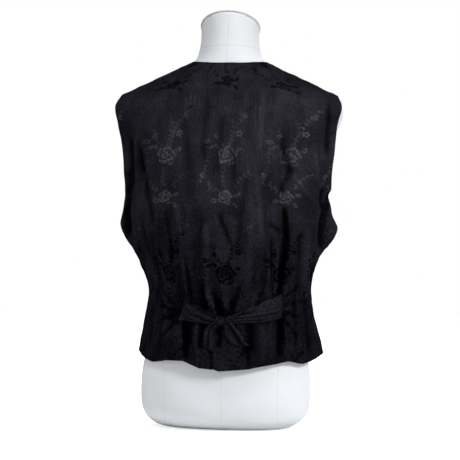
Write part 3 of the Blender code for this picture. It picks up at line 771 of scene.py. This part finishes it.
def keepOuterSkin(piece):
    # the wall's outer side: its faces look away from the body, and its rim faces are narrow
    mesh = piece.data
    places = vertexPlaces(piece)
    mask = []
    for face in mesh.polygons:
        corners = places[list(face.vertices)]
        shortest = np.linalg.norm(corners - np.roll(corners, 1, axis=0), axis=1).min()
        centre = corners.mean(axis=0)
        outward = centre - np.array([0, 0, centre[2] - 0.10])
        mask.append(shortest < panelLook["rimWidth"] or float(np.dot(np.array(face.normal), outward)) < 0)
    selectFaces(piece, mask)
    bpy.ops.mesh.delete(type="FACE")
    bpy.ops.mesh.select_all(action="SELECT")
    bpy.ops.mesh.tris_convert_to_quads(face_threshold=math.pi, shape_threshold=math.pi)
    bpy.ops.object.mode_set(mode="OBJECT")


def clothCoordinates(places, facing):
    # across and up in metres along the cloth, measured from the middle of the back or of the front
    angle = np.arctan2(places[:, 0] / panelLook["halfWidth"], facing * places[:, 1] / panelLook["halfDepth"])
    turn = np.linspace(-math.pi, math.pi, 721)
    along = np.hypot(panelLook["halfWidth"] * np.cos(turn), panelLook["halfDepth"] * np.sin(turn))
    arc = np.concatenate([[0], np.cumsum((along[1:] + along[:-1]) / 2 * np.diff(turn))])
    across = np.interp(angle, turn, arc - arc[360])
    overShoulder = eased((places[:, 2] - 0.560) / 0.060)
    up = places[:, 2] + overShoulder * 0.75 * np.maximum(facing * -places[:, 1] + 0.100, 0)
    return np.stack([across, up], axis=1)


def setClothMap(piece, flat):
    for layer in list(piece.data.uv_layers):
        piece.data.uv_layers.remove(layer)
    layer = piece.data.uv_layers.new(name="cloth")
    corners = np.empty(len(piece.data.loops), dtype=np.int64)
    piece.data.loops.foreach_get("vertex_index", corners)
    layer.data.foreach_set("uv", flat[corners].astype(np.float32).ravel())


def pressFolds(places, normals, folds):
    # each fold is a trough with a low lip on both sides, and fades at its ends
    moved = places.copy()
    for x1, z1, x2, z2, width, depth in folds:
        low, line = np.array([x2, z2]), np.array([x1 - x2, z1 - z2])
        flat = places[:, [0, 2]] - low
        length = np.hypot(*line)
        share = flat @ line / length**2
        aside = (flat @ np.array([-line[1], line[0]])) / length
        # no fold runs quite straight
        aside = aside + 0.12 * width * np.sin(share * 5 + x1 * 90)
        ratio = (aside / width) ** 2
        trough = (1 - 0.45 * ratio) * np.exp(-ratio / 1.3)
        fade = min(0.35, 0.012 / length + 0.12)
        ends = eased((share + fade * 0.6) / fade) * eased((1 + fade * 0.6 - share) / fade)
        moved -= normals * (depth * trough * ends)[:, None]
    return moved


def crinkle(places, normals):
    # small upright wrinkles, stronger at the waist and below the belt
    waist = 0.55 + 0.75 * np.exp(-(((places[:, 2] - panelLook["wrinkledAt"]) / 0.10) ** 2))
    amount = 0.0
    for scale, seed, height, ridged in panelLook["wrinkles"]:
        shape = noiseAt(places, scale, seed)
        amount = amount + height * (0.35 - 2 * np.abs(shape) if ridged else shape)
    return places + normals * (waist * amount * panelLook["wrinkle"])[:, None]


def refineWaist(piece):
    # the closest folds are round the belt, so the cloth has twice the points there
    centres = np.array([face.center for face in piece.data.polygons])
    height, depth = panelLook["fineBelow"], panelLook["fineBehind"]
    selectFaces(piece, (centres[:, 2] < height) & (centres[:, 1] < depth))
    bpy.ops.mesh.subdivide(number_cuts=1, smoothness=1.0)
    bpy.ops.object.mode_set(mode="OBJECT")


def setHollows(piece, depths, lowest=-0.4):
    # how far each place lies down in a fold, or stands proud below 0, for the cloth's painted shade in the
    # folds and painted light on what stands proud
    layer = piece.data.attributes.new("hollow", "FLOAT", "POINT")
    layer.data.foreach_set("value", np.clip(depths / panelLook["hollowDepth"], lowest, 1).astype(np.float32))


def settleHem(places):
    # the back's lower edge wanders up and down a little, and the cloth above it follows
    at, height = np.array(backHem).T
    smooth = np.interp(places[:, 0], at, height)
    hem = np.interp(places[:, 0], *lowestAlong(places))
    reach = 1 - eased((places[:, 2] - hem) / 0.055)
    within = eased((places[:, 0] - at[0]) / 0.03) * eased((at[-1] - places[:, 0]) / 0.03)
    moved = places.copy()
    moved[:, 2] += (smooth - hem) * reach * within
    return moved


def lowestAlong(places, step=0.006):
    # how low the piece reaches in each narrow strip across it
    back = places[places[:, 1] < 0.0]
    at = np.arange(back[:, 0].min() + step, back[:, 0].max() - step, step)
    low = [back[np.abs(back[:, 0] - x) < step, 2].min() for x in at]
    return at, np.array(low)


def pulled(places):
    moved = places.copy()
    for centre, reach, pull in tugs:
        near = 1 - eased(np.linalg.norm(places - np.array(centre), axis=1) / reach)
        moved += near[:, None] * np.array(pull)
    return moved


def easedAtButtons(places, moved):
    # the faced front edges lie flat where the buttons are
    flat = (1 - eased((np.abs(places[:, 0]) - 0.020) / 0.030)) * (places[:, 1] > 0)
    return moved + (places - moved) * flat[:, None]


def clearOfForm(places, gap):
    moved = places.copy()
    for index, place in enumerate(places):
        near, normal, _, distance = formTree.find_nearest(Vector(place), 0.02)
        if near is None:
            continue
        height = (Vector(place) - near).dot(normal)
        if height < gap:
            moved[index] += np.array(normal) * (gap - height)
    return moved


def makePanel(node, name, facing, folds):
    piece = nodeCopy(node, name)
    keepOuterSkin(piece)
    subdivide(piece, panelLook["levels"], boundary_smooth="PRESERVE_CORNERS")
    faceOutward(piece)
    if node == "back":
        refineWaist(piece)
    setClothMap(piece, clothCoordinates(vertexPlaces(piece), facing))
    places, normals = vertexPlaces(piece), vertexNormals(piece)
    mine = (places[:, 1] * facing > -0.030)[:, None]
    moved = np.where(mine, pressFolds(places, normals, folds), places)
    moved = crinkle(moved, normals)
    places = pulled(easedAtButtons(places, moved))
    setHollows(piece, np.sum((vertexPlaces(piece) - places) * normals, axis=1))
    if node == "back":
        places = settleHem(places)
    moveVertices(piece, clearOfForm(places, panelLook["thickness"] + panelLook["formGap"]))
    applyModifier(piece, "SOLIDIFY", thickness=panelLook["thickness"], offset=-1.0)
    roundEdges(piece, panelLook["rimRound"], panelLook["rimBend"])
    finishMesh(piece, jacquard)
    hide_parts(node)
    print(name, "done,", len(piece.data.polygons), "faces")
    return piece


backPanel = makePanel("back", "backPanel", -1, backFolds)
frontLeftPanel = makePanel("front_left", "frontLeftPanel", 1, frontFolds)
frontRightPanel = makePanel("front_right", "frontRightPanel", 1, frontFolds)

backTree = treeOf(backPanel)


# the belt

beltLook = {
    "thickness": 0.0010, "lift": 0.0009, "span": 5, "along": 72, "across": 22, "ray": 0.40,
    "rimRound": 0.0003, "flutter": 0.0002, "edgeTurn": 0.45,
    # for the painted shade of its creases and the painted light of the whole ribbon: how far it stands proud,
    # how strongly they show, and the palest
    "proud": 0.0022, "creaseShade": 2.0, "lowest": -1.6,
}

# each ribbon starts where it is sewn on or leaves the knot. edges: one edge's x and y and the other edge's,
# in the photo's pixels. rises: how far the ribbon stands off the cloth at its stations, in millimetres.
# creases: along and across from 0 to 1 at both ends, width, and height in millimetres
ribbons = {
    "tieLeft": {
        "node": "tie_left", "flat": (0.035, 0.081),
        "edges": [(184, 302.5, 177, 321.3), (191, 305, 186, 322.3), (202, 308.6, 200, 323.6),
                  (212, 313.4, 211.5, 324.6), (220, 317.5, 219.5, 325)],
        "rises": [0, 0.3, 0.8, 2.5, 6],
        "creases": [(0.02, 0.10, 0.72, 0.62, 0.07, 1.5), (0.00, 0.30, 0.60, 0.80, 0.06, -1.6),
                    (0.25, 0.06, 1.0, 0.35, 0.07, -1.2), (0.10, 0.62, 0.55, 0.92, 0.06, 1.0),
                    (0.45, 0.50, 1.0, 0.60, 0.07, 1.2), (0.5, 0.80, 1.0, 0.80, 0.07, -1.2)],
    },
    "tieRight": {
        "node": "tie_right", "flat": (0.045, 0.109),
        "edges": [(280, 294.3, 281, 317.6), (266, 300.2, 270, 320.6), (251, 306.8, 256, 322.4),
                  (239, 312.3, 241, 322.4), (227, 317, 228, 324.5)],
        "rises": [0, 0.3, 0.8, 2.0, 6],
        "creases": [(0.06, 0.64, 0.88, 0.40, 0.06, 1.7), (0.10, 0.72, 0.88, 0.55, 0.05, -1.3),
                    (0.25, 0.80, 0.92, 0.66, 0.05, 1.1), (0.30, 0.90, 0.95, 0.82, 0.05, -1.2),
                    (0.40, 0.34, 1.0, 0.25, 0.07, -1.3), (0.05, 0.97, 0.9, 0.96, 0.05, 0.9),
                    (0.10, 0.45, 0.50, 0.40, 0.10, 0.6)],
    },
    "tieEndLeft": {
        "node": "tie_end_left", "flat": (0.030, 0.052),
        "edges": [(214, 321.5, 220, 325), (206.2, 328, 214.2, 331.5), (203.6, 336.5, 214.4, 340),
                  (202.4, 344.8, 214.6, 351.6)],
        "rises": [5.5, 2.4, 1.6, 1.4],
        "creases": [(0.0, 0.45, 0.96, 0.45, 0.10, -2.4), (0.05, 0.15, 1.0, 0.22, 0.10, 1.4),
                    (0.1, 0.72, 1.0, 0.70, 0.09, 1.6), (0.3, 0.95, 1.0, 0.90, 0.08, -0.8)],
    },
    "tieEndRight": {
        "node": "tie_end_right", "flat": (0.035, 0.054),
        "edges": [(231, 321.5, 224, 325.5), (237.5, 329.5, 225.5, 333), (243, 337, 228.5, 339.5),
                  (248.8, 345.5, 232.2, 343.8)],
        "rises": [5.5, 3.2, 2.2, 1.5],
        "creases": [(0.0, 0.14, 1.0, 0.10, 0.09, 2.2), (0.05, 0.45, 0.95, 0.40, 0.12, -3.0),
                    (0.45, 0.80, 1.0, 0.72, 0.10, 1.6), (0.0, 0.75, 0.5, 0.95, 0.08, 0.8)],
    },
}


def smoothCurve(points, at):
    # a curve through evenly spaced points, with easy bends
    points = np.asarray(points, float)
    if points.ndim == 1:
        points = points[:, None]
    count = len(points) - 1
    slopes = np.gradient(points, axis=0)
    place = np.clip(np.asarray(at) * count, 0, count - 1e-9)
    first = place.astype(int)
    t = (place - first)[:, None]
    low, high, lowSlope, highSlope = points[first], points[first + 1], slopes[first], slopes[first + 1]
    return (
        low * (1 + 2 * t) * (1 - t) ** 2 + lowSlope * t * (1 - t) ** 2
        + high * t**2 * (3 - 2 * t) + highSlope * t**2 * (t - 1)
    )


def bedDepth(x, z):
    # how far back the cloth lies, seen square on
    hit = backTree.ray_cast(Vector((x, -beltLook["ray"], z)), Vector((0, 1, 0)))
    return hit[0].y if hit[0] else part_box("back")[0][1]


def spanned(bed, reach):
    # a ribbon bridges the cloth's narrow troughs along its length
    padded = np.pad(bed, ((reach, reach), (0, 0)), mode="edge")
    proud = np.min([padded[shift:shift + len(bed)] for shift in range(2 * reach + 1)], axis=0)
    padded = np.pad(proud, ((reach, reach), (0, 0)), mode="edge")
    return np.mean([padded[shift:shift + len(bed)] for shift in range(2 * reach + 1)], axis=0)


def creaseHeight(u, v, creases):
    height = np.zeros_like(u)
    for u1, v1, u2, v2, width, rise in creases:
        share = np.clip((u - u1) / (u2 - u1), 0, 1)
        line = v1 + (v2 - v1) * share
        ends = eased((u - u1) / 0.10 + 0.5) * eased((u2 - u) / 0.10 + 0.5)
        height += rise * millimetre * np.exp(-(((v - line) / width) ** 2)) * ends
    return height


def makeRibbon(name, look):
    along, across = beltLook["along"], beltLook["across"]
    deselectAll()
    bpy.ops.mesh.primitive_grid_add(x_subdivisions=along, y_subdivisions=across, size=2)
    piece = bpy.context.object
    piece.name = name
    corners = vertexPlaces(piece)
    column = np.rint((corners[:, 0] + 1) / 2 * along).astype(int)
    row = np.rint((corners[:, 1] + 1) / 2 * across).astype(int)
    u = np.linspace(0, 1, along + 1)
    v = np.linspace(0, 1, across + 1)
    edges = smoothCurve(look["edges"], u)
    pixels = edges[:, None, :2] + (edges[:, None, 2:] - edges[:, None, :2]) * v[None, :, None]
    x, z = fromChart(pixels[..., 0], pixels[..., 1])
    bed = np.array([[bedDepth(px, pz) for px, pz in zip(*pair)] for pair in zip(x, z)])
    proud = spanned(bed, beltLook["span"])
    uGrid, vGrid = np.meshgrid(u, v, indexing="ij")
    rise = smoothCurve(look["rises"], u) * millimetre
    relief = creaseHeight(uGrid, vGrid, look["creases"])
    flutter = beltLook["flutter"] * np.sin(uGrid * 41 + 3 * np.sin(vGrid * 7)) * np.sin(vGrid * 13)
    off = np.maximum(rise + relief + flutter, 0) + beltLook["lift"]
    # the long edges turn in towards the cloth
    off *= 1 - beltLook["edgeTurn"] * np.exp(-np.minimum(vGrid, 1 - vGrid) / 0.05) * (rise < 0.002)
    y = np.minimum(proud - off, bed - beltLook["lift"])
    places = np.stack([x, y, z], axis=-1)[column, row]
    moveVertices(piece, places)
    width, length = look["flat"]
    setClothMap(piece, np.stack([v[row] * width + 0.031, u[column] * length + 0.27], axis=1))
    hollows = -relief[column, row] * beltLook["creaseShade"] - beltLook["proud"]
    setHollows(piece, hollows, beltLook["lowest"])
    faceOutward(piece)
    if np.mean(vertexNormals(piece)[:, 1]) > 0:
        piece.data.flip_normals()
    applyModifier(piece, "SOLIDIFY", thickness=beltLook["thickness"], offset=1.0)
    roundEdges(piece, beltLook["rimRound"], panelLook["rimBend"])
    finishMesh(piece, jacquard)
    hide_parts(look["node"])
    return piece


belt = {name: makeRibbon(name, look) for name, look in ribbons.items()}

# the knot's turns: middle in the photo's pixels, millimetres off the cloth, half sizes in millimetres
# along the axis, across it and outwards, the axis' angle in degrees, and the number of creases round it
knotTurns = {
    "knotBand": {"at": (219.8, 321.2), "off": 5.5, "half": (8.6, 8.0, 5.6), "angle": 12, "creases": 2.5},
    "knotFold": {"at": (227.6, 319.6), "off": 5.2, "half": (9.6, 4.8, 4.6), "angle": 42, "creases": 1.5},
}


def makeKnotTurn(name, look):
    deselectAll()
    bpy.ops.mesh.primitive_uv_sphere_add(segments=56, ring_count=40, radius=1)
    piece = bpy.context.object
    piece.name = name
    ball = vertexPlaces(piece)
    along = ball[:, 2]
    turn = np.arctan2(ball[:, 1], ball[:, 0])
    # a short roll of cloth: full in the middle, pinched at the ends and creased round
    full = np.sqrt(np.clip(1 - along**4, 0, 1))
    crease = 1 + 0.11 * np.cos(math.pi * 2 * look["creases"] * along + 0.8 * np.sin(turn * 2)) * full
    crease += 0.05 * np.cos(turn * 3 + along * 4) * full
    half = np.array(look["half"]) * millimetre
    aside, out = full * crease * np.cos(turn) * half[1], full * crease * np.sin(turn) * half[2]
    angle = math.radians(look["angle"])
    x, z = fromChart(*look["at"])
    y = bedDepth(x, z) - look["off"] * millimetre
    places = np.stack(
        [
            x + along * half[0] * math.cos(angle) - aside * math.sin(angle),
            y - out,
            z + along * half[0] * math.sin(angle) + aside * math.cos(angle),
        ],
        axis=1,
    )
    moveVertices(piece, places)
    setClothMap(piece, np.stack([turn * half[1] + 0.05, along * half[0] + 0.31], axis=1))
    setHollows(piece, (1.0 - crease) * 0.03 - beltLook["proud"], beltLook["lowest"])
    faceOutward(piece)
    finishMesh(piece, jacquard)
    return piece


knot = {name: makeKnotTurn(name, look) for name, look in knotTurns.items()}
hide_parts("tie_knot")
print("belt done")

# buttons and buttonholes

buttonLook = {
    "colour": (0.012, 0.011, 0.013, 1), "roughness": 0.22, "rimWidth": 0.0015, "dish": 0.0007, "edge": 0.0004,
    "holeRadius": 0.0008, "holeSpread": 0.0017, "thread": 0.00032, "threadColour": (0.010, 0.010, 0.013, 1),
    "count": 4, "smoothBelow": 35,
    # the sewing: half the gap between two threads, how far they run past and dip into the holes, and the
    # shank's radius and length
    "slip": 0.0002, "past": 0.0012, "dip": 0.0009, "stem": (0.0013, 0.0014),
}
holeLook = {
    "length": 0.0180, "start": -0.0030, "aside": 0.0009, "ray": 0.4,
    "stitch": 0.0007, "stitchLength": 0.0019, "pitch": 0.0008,
}
faceOn = (math.radians(90), 0, 0)
acrossButton = (0, math.radians(90), 0)


def plainMaterial(name, colour, roughness):
    material, w, shader = newMaterial(name)
    where = w.node("ShaderNodeTexCoord").outputs["Object"]
    mottle = w.ramp(w.noise(where, 900.0, 3.0), 0.3, 0.7, 0.8, 1.25)
    w.feed(shader.inputs["Base Color"], w.vector("SCALE", tuple(colour[:3]), mottle))
    w.feed(shader.inputs["Roughness"], w.times(mottle, roughness))
    return material


buttonHorn = plainMaterial("buttonHorn", buttonLook["colour"], buttonLook["roughness"])
sewingThread = plainMaterial("sewingThread", buttonLook["threadColour"], 0.6)


def makeCylinder(vertices, radius, depth, place, turn):
    deselectAll()
    bpy.ops.mesh.primitive_cylinder_add(
        vertices=vertices, radius=radius, depth=depth, location=place, rotation=turn,
    )
    made = bpy.context.object
    bpy.ops.object.transform_apply()
    return made


def turnButton(centre, radius, depth):
    # a turned button with a dished face and four holes
    button = makeCylinder(64, radius, depth, centre, faceOn)
    faces = np.array([face.normal for face in button.data.polygons])
    selectFaces(button, faces[:, 1] > 0.9)
    bpy.ops.mesh.inset(thickness=buttonLook["rimWidth"])
    bpy.ops.transform.translate(value=(0, -buttonLook["dish"], 0))
    bpy.ops.object.mode_set(mode="OBJECT")
    roundEdges(button, buttonLook["edge"], 0.5, 3)
    spread = buttonLook["holeSpread"]
    for x in (-spread, spread):
        for z in (-spread, spread):
            drill = makeCylinder(20, buttonLook["holeRadius"], depth * 3, centre + Vector((x, 0, z)), faceOn)
            applyModifier(button, "BOOLEAN", object=drill, operation="DIFFERENCE", solver="EXACT")
            bpy.data.objects.remove(drill)
    return button


def sewButton(centre, face, under):
    # two threads over each pair of holes, and the shank wound under the button
    spread, dip = buttonLook["holeSpread"], buttonLook["dip"]
    length = 2 * spread + buttonLook["past"]
    sewing = []
    for z in (-spread, spread):
        for slip in (-buttonLook["slip"], buttonLook["slip"]):
            place = (centre.x, face + 0.0001, centre.z + z + slip)
            thread = makeCylinder(12, buttonLook["thread"], length, place, acrossButton)
            editAll(thread)
            bpy.ops.mesh.subdivide(number_cuts=6)
            bpy.ops.object.mode_set(mode="OBJECT")
            places = vertexPlaces(thread)
            places[:, 1] -= dip * eased((np.abs(places[:, 0] - centre.x) - spread * 0.7) / dip)
            moveVertices(thread, places)
            sewing.append(thread)
    radius, height = buttonLook["stem"]
    shank = makeCylinder(16, radius, height, (centre.x, under - height / 2 + 0.0001, centre.z), faceOn)
    roundEdges(shank, 0.0003, 0.5)
    return joined([*sewing, shank], "buttonThread")


def makeButton(low, high):
    centre = (Vector(low) + Vector(high)) / 2
    button = turnButton(centre, (high[0] - low[0]) / 2, high[1] - low[1])
    return button, sewButton(centre, high[1] - buttonLook["dish"], low[1])


def joined(pieces, name):
    deselectAll()
    for piece in pieces:
        piece.select_set(True)
    bpy.context.view_layer.objects.active = pieces[0]
    bpy.ops.object.join()
    pieces[0].name = name
    return pieces[0]


def copyMoved(piece, name, move):
    copy = bpy.data.objects.new(name, piece.data.copy())
    bpy.context.scene.collection.objects.link(copy)
    moveVertices(copy, vertexPlaces(copy) + np.array(move))
    return copy


def finishHard(piece, material):
    finishMesh(piece, material)
    activate(piece)
    bpy.ops.object.shade_smooth_by_angle(angle=math.radians(buttonLook["smoothBelow"]))


def makeButtons():
    low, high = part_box("button_1")
    button, thread = makeButton(low, high)
    buttons, threads = [button], [thread]
    for number in range(2, buttonLook["count"] + 1):
        otherLow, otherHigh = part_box(f"button_{number}")
        move = (np.array(otherLow) + np.array(otherHigh) - np.array(low) - np.array(high)) / 2
        buttons.append(copyMoved(button, f"button{number}", move))
        threads.append(copyMoved(thread, f"buttonThread{number}", move))
    button.name, thread.name = "button1", "buttonThread1"
    for number, (piece, sewing) in enumerate(zip(buttons, threads), 1):
        finishHard(piece, buttonHorn)
        finishMesh(sewing, sewingThread)
        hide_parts(f"button_{number}")


def makeButtonholes():
    # a bar of close stitches along each side of a slit that runs out from under the button
    front = treeOf(frontRightPanel)
    bars = []
    for number in range(1, buttonLook["count"] + 1):
        low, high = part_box(f"button_{number}")
        middle = (Vector(low) + Vector(high)) / 2
        stitches = []
        steps = int(holeLook["length"] / holeLook["pitch"])
        for side in (-1, 1):
            for step in range(steps):
                x = middle.x + holeLook["start"] + step / (steps - 1) * holeLook["length"]
                z = middle.z + side * holeLook["aside"]
                hit = front.ray_cast(Vector((x, holeLook["ray"], z)), Vector((0, -1, 0)))
                if hit[0] is None:
                    continue
                deselectAll()
                bpy.ops.mesh.primitive_uv_sphere_add(segments=8, ring_count=6, radius=1, location=hit[0])
                stitch = bpy.context.object
                stitch.scale = (holeLook["stitch"] / 2, holeLook["stitch"] / 2, holeLook["stitchLength"] / 2)
                bpy.ops.object.transform_apply()
                stitches.append(stitch)
        bar = joined(stitches, f"buttonhole{number}")
        finishMesh(bar, sewingThread)
        bars.append(bar)
    return bars


makeButtons()
buttonholes = makeButtonholes()
print("buttons done")
